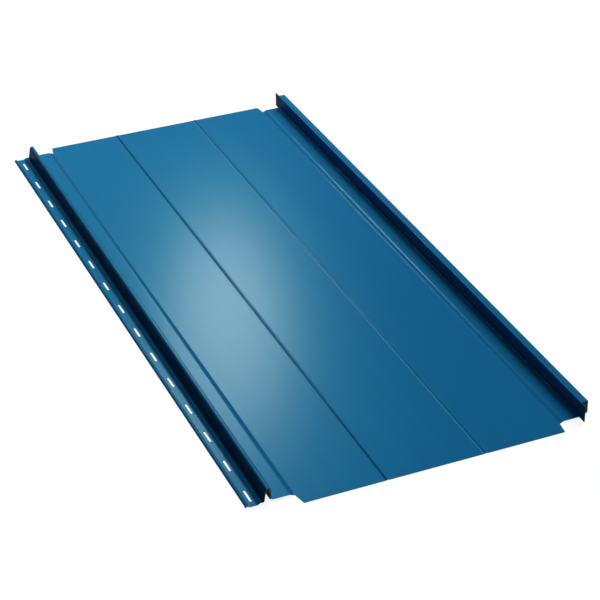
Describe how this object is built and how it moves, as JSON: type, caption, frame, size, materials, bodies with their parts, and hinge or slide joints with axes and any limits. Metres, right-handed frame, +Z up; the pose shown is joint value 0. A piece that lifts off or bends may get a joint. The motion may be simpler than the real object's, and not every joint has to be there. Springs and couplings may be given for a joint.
{
  "type": "standing seam roof panel",
  "caption": "Snap-lock standing seam roof panel: ribbed flat pan, slotted fastening strip with locking rib on the left, covering seam with snap hook on the right, notched ends",
  "frame": {"origin": "under the middle of the panel, at the level of the pan's underside", "axes": "+X from the fastening strip to the covering seam, +Y from the eaves end to the ridge end, +Z up off the deck"},
  "size_m": [0.4718, 1.04, 0.025],
  "materials": {
    "coated_steel": "smooth semi-gloss coil coating, blue on the weather side and warm grey on the back"
  },
  "bodies": {
    "root": {"roof_panel": "coated_steel"}
  },
  "joints": []
}
